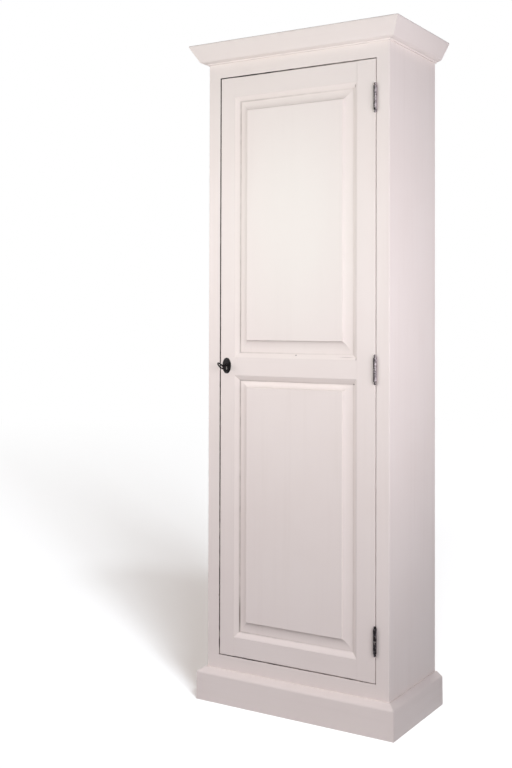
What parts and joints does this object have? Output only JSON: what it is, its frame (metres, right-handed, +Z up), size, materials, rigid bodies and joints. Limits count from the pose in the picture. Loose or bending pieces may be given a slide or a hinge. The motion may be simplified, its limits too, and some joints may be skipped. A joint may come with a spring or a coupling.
{
  "type": "bonnetiere cabinet",
  "caption": "Tall narrow cupboard with a raised-panel door on lift-off hinges, a keyed lock, inner shelves, and a moulded cornice and plinth.",
  "frame": {"origin": "middle of the floor rectangle that the whole cupboard covers, at floor height", "axes": "+X to the right seen from the front, +Y towards the back, +Z up; the door faces -Y"},
  "size_m": [0.7, 0.375, 2],
  "materials": {
    "cream_paint": "satin cream paint over wood",
    "bare_wood": "bare planed wood, aged",
    "aged_iron": "dark worn iron with grey metal on the raised parts",
    "black_iron": "blackened iron, half matt",
    "grey_steel": "dull grey steel"
  },
  "bodies": {
    "carcass": {"side_left": "cream_paint", "side_right": "cream_paint", "frame_stile_left": "cream_paint", "frame_stile_right": "cream_paint", "frame_rail_top": "cream_paint", "frame_rail_bottom": "cream_paint", "cornice_front": "cream_paint", "cornice_left": "cream_paint", "cornice_right": "cream_paint", "plinth_front": "cream_paint", "plinth_left": "cream_paint", "plinth_right": "cream_paint", "back_plank_1": "bare_wood", "back_plank_2": "bare_wood", "back_plank_3": "bare_wood", "back_plank_4": "bare_wood", "bottom_board": "bare_wood", "top_board": "bare_wood", "shelf_1": "bare_wood", "shelf_2": "bare_wood", "shelf_3": "bare_wood", "shelf_batten_1_left": "bare_wood", "shelf_batten_1_right": "bare_wood", "shelf_batten_2_left": "bare_wood", "shelf_batten_2_right": "bare_wood", "shelf_batten_3_left": "bare_wood", "shelf_batten_3_right": "bare_wood", "door_stop": "bare_wood", "hinge_frame_leaf_1": "aged_iron", "hinge_frame_leaf_2": "aged_iron", "hinge_frame_leaf_3": "aged_iron", "strike_plate": "black_iron", "hinge_washer_1": "grey_steel", "hinge_washer_2": "grey_steel", "hinge_washer_3": "grey_steel", "strike_screw_1": "grey_steel", "strike_screw_2": "grey_steel"},
    "door": {"door_stile_lock": "cream_paint", "door_stile_hinge": "cream_paint", "door_rail_top": "cream_paint", "door_rail_middle": "cream_paint", "door_rail_bottom": "cream_paint", "door_panel_upper": "cream_paint", "door_panel_lower": "cream_paint", "hinge_door_leaf_1": "aged_iron", "hinge_door_leaf_2": "aged_iron", "hinge_door_leaf_3": "aged_iron", "escutcheon": "black_iron", "escutcheon_pin_1": "black_iron", "escutcheon_pin_2": "black_iron", "lock_case": "black_iron", "lock_cover": "black_iron", "lock_screw_1": "grey_steel", "lock_screw_2": "grey_steel", "lock_screw_3": "grey_steel", "lock_screw_4": "grey_steel"},
    "lock_bolt": {"lock_bolt": "grey_steel"},
    "key": {"key": "black_iron"}
  },
  "joints": [
    {"name": "door_swing", "type": "hinge", "parent": "carcass", "child": "door", "pos_m": [0.262, -0.1468, 1.019], "axis": [0, 0, 1], "range_deg": [0, 180]},
    {"name": "key_turn", "type": "hinge", "parent": "door", "child": "key", "pos_m": [-0.2375, -0.1415, 1.019], "axis": [0, 1, 0], "range_deg": [0, 90]},
    {"name": "bolt_throw", "type": "slide", "parent": "door", "child": "lock_bolt", "axis": [-1, 0, 0], "range_m": [0, 0.012]}
  ],
  "couplings": [
    {"joint": "key_turn", "follows": "bolt_throw", "rad_per_m": 130.9}
  ]
}
